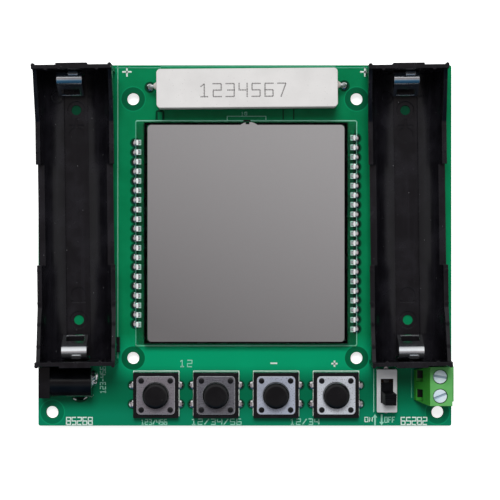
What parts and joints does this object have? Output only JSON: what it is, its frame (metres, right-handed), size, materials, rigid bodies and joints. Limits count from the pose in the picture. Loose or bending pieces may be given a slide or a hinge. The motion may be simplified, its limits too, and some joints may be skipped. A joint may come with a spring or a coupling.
{
  "type": "battery capacity tester module",
  "caption": "Green circuit board with black cell holders along its sides, a ceramic load resistor, a square display, round push buttons, a power jack, a slide switch and a screw terminal.",
  "frame": {"origin": "centre of the four mounting holes, on the underside of the board", "axes": "+X along the long side of the board, towards the wire terminal; +Y towards the load resistor; +Z out of the display side"},
  "size_m": [0.1105, 0.096, 0.0238],
  "materials": {
    "board_laminate": "green solder mask",
    "solder": "shiny solder",
    "holder_plastic": "satin black",
    "nickel_strip": "bright nickel plating",
    "resistor_ceramic": "matte white",
    "resistor_cement": "rough grey white",
    "resistor_rod": "wound with bare wire",
    "tinned_wire": "bright tin plating",
    "display_glass": "clear, dark at the edges",
    "display_film": "fine anti-glare grain",
    "display_seal": "black",
    "button_plastic": "satin black",
    "button_steel": "plated sheet",
    "jack_plastic": "satin black",
    "jack_metal": "plated",
    "switch_steel": "plated sheet",
    "switch_laminate": "brown paper laminate",
    "switch_plastic": "satin black",
    "clip_brass": "bare",
    "terminal_plastic": "green",
    "screw_steel": "zinc plated",
    "chip_plastic": "moulded black",
    "capacitor_ceramic": "tan"
  },
  "bodies": {
    "board": {"circuit_board": "board_laminate", "solder_joints": "solder", "left_cell_holder": "holder_plastic", "right_cell_holder": "holder_plastic", "contact_anchors": "nickel_strip", "resistor_case": "resistor_ceramic", "resistor_cement": "resistor_cement", "resistor_rod": "resistor_rod", "resistor_leads": "tinned_wire", "display_front_glass": "display_glass", "display_rear_glass": "display_glass", "display_front_film": "display_film", "display_rear_film": "display_film", "display_seal": "display_seal", "display_left_pins": "tinned_wire", "display_right_pins": "tinned_wire", "mode_button_base": "button_plastic", "mode_button_cover": "button_steel", "mode_button_dome": "button_steel", "set_button_base": "button_plastic", "set_button_cover": "button_steel", "set_button_dome": "button_steel", "minus_button_base": "button_plastic", "minus_button_cover": "button_steel", "minus_button_dome": "button_steel", "plus_button_base": "button_plastic", "plus_button_cover": "button_steel", "plus_button_dome": "button_steel", "button_legs": "tinned_wire", "jack_housing": "jack_plastic", "jack_centre_pin": "jack_metal", "jack_sleeve_tail": "jack_metal", "jack_shunt_contact": "jack_metal", "switch_frame": "switch_steel", "switch_base": "switch_laminate", "switch_terminals": "tinned_wire", "terminal_housing": "terminal_plastic", "terminal_bars": "tinned_wire", "display_driver": "chip_plastic", "controller": "chip_plastic", "chip_legs": "tinned_wire", "power_transistors": "chip_plastic", "voltage_regulator": "chip_plastic", "chip_resistors": "chip_plastic", "chip_capacitors": "capacitor_ceramic"},
    "switch_slider": {"switch_knob": "switch_plastic", "switch_wiper": "clip_brass"},
    "upper_screw": {"upper_terminal_screw": "screw_steel"},
    "lower_screw": {"lower_terminal_screw": "screw_steel"},
    "upper_cage": {"upper_clamp_cage": "clip_brass"},
    "lower_cage": {"lower_clamp_cage": "clip_brass"},
    "sleeve_leaf": {"jack_sleeve_leaf": "jack_metal"},
    "mode_plunger": {"mode_button_plunger": "button_plastic"},
    "set_plunger": {"set_button_plunger": "button_plastic"},
    "minus_plunger": {"minus_button_plunger": "button_plastic"},
    "plus_plunger": {"plus_button_plunger": "button_plastic"},
    "left_positive_leaf": {"left_positive_leaf": "nickel_strip"},
    "left_negative_leaf": {"left_negative_leaf": "nickel_strip"},
    "right_positive_leaf": {"right_positive_leaf": "nickel_strip"},
    "right_negative_leaf": {"right_negative_leaf": "nickel_strip"}
  },
  "joints": [
    {"name": "left_positive_leaf_flex", "type": "hinge", "parent": "board", "child": "left_positive_leaf", "pos_m": [-0.04494, 0.03925, 0.013], "axis": [0.9999, 0.0122, 0], "range_deg": [0, 16], "stiffness_Nm_per_rad": 0.12},
    {"name": "left_negative_leaf_flex", "type": "hinge", "parent": "board", "child": "left_negative_leaf", "pos_m": [-0.04407, -0.03235, 0.013], "axis": [-0.9999, -0.0122, 0], "range_deg": [0, 16], "stiffness_Nm_per_rad": 0.12},
    {"name": "right_positive_leaf_flex", "type": "hinge", "parent": "board", "child": "right_positive_leaf", "pos_m": [0.04256, 0.03925, 0.013], "axis": [0.9999, 0.0122, 0], "range_deg": [0, 16], "stiffness_Nm_per_rad": 0.12},
    {"name": "right_negative_leaf_flex", "type": "hinge", "parent": "board", "child": "right_negative_leaf", "pos_m": [0.04344, -0.03235, 0.013], "axis": [-0.9999, -0.0122, 0], "range_deg": [0, 16], "stiffness_Nm_per_rad": 0.12},
    {"name": "mode_button_press", "type": "slide", "parent": "board", "child": "mode_plunger", "axis": [0, 0, -1], "range_m": [0, 0.0003], "stiffness_N_per_m": 4000, "deforming": ["mode_button_dome"]},
    {"name": "set_button_press", "type": "slide", "parent": "board", "child": "set_plunger", "axis": [0, 0, -1], "range_m": [0, 0.0003], "stiffness_N_per_m": 4000, "deforming": ["set_button_dome"]},
    {"name": "minus_button_press", "type": "slide", "parent": "board", "child": "minus_plunger", "axis": [0, 0, -1], "range_m": [0, 0.0003], "stiffness_N_per_m": 4000, "deforming": ["minus_button_dome"]},
    {"name": "plus_button_press", "type": "slide", "parent": "board", "child": "plus_plunger", "axis": [0, 0, -1], "range_m": [0, 0.0003], "stiffness_N_per_m": 4000, "deforming": ["plus_button_dome"]},
    {"name": "power_switch_slide", "type": "slide", "parent": "board", "child": "switch_slider", "axis": [0, 1, 0], "range_m": [0, 0.0031]},
    {"name": "upper_screw_turn", "type": "hinge", "parent": "board", "child": "upper_screw", "pos_m": [0.0513, -0.03901, 0.0101], "axis": [0, 0, 1], "range_deg": [-1224, 0]},
    {"name": "upper_cage_rise", "type": "slide", "parent": "board", "child": "upper_cage", "axis": [0, 0, 1], "range_m": [0, 0.0017]},
    {"name": "lower_screw_turn", "type": "hinge", "parent": "board", "child": "lower_screw", "pos_m": [0.0513, -0.04409, 0.0101], "axis": [0, 0, 1], "range_deg": [-1224, 0]},
    {"name": "lower_cage_rise", "type": "slide", "parent": "board", "child": "lower_cage", "axis": [0, 0, 1], "range_m": [0, 0.0017]},
    {"name": "sleeve_leaf_flex", "type": "hinge", "parent": "board", "child": "sleeve_leaf", "pos_m": [-0.0469, -0.0405, 0.00365], "axis": [0, -1, 0], "range_deg": [0, 4], "stiffness_Nm_per_rad": 0.1}
  ],
  "couplings": [
    {"joint": "upper_screw_turn", "follows": "upper_cage_rise", "rad_per_m": -12566},
    {"joint": "lower_screw_turn", "follows": "lower_cage_rise", "rad_per_m": -12566}
  ]
}
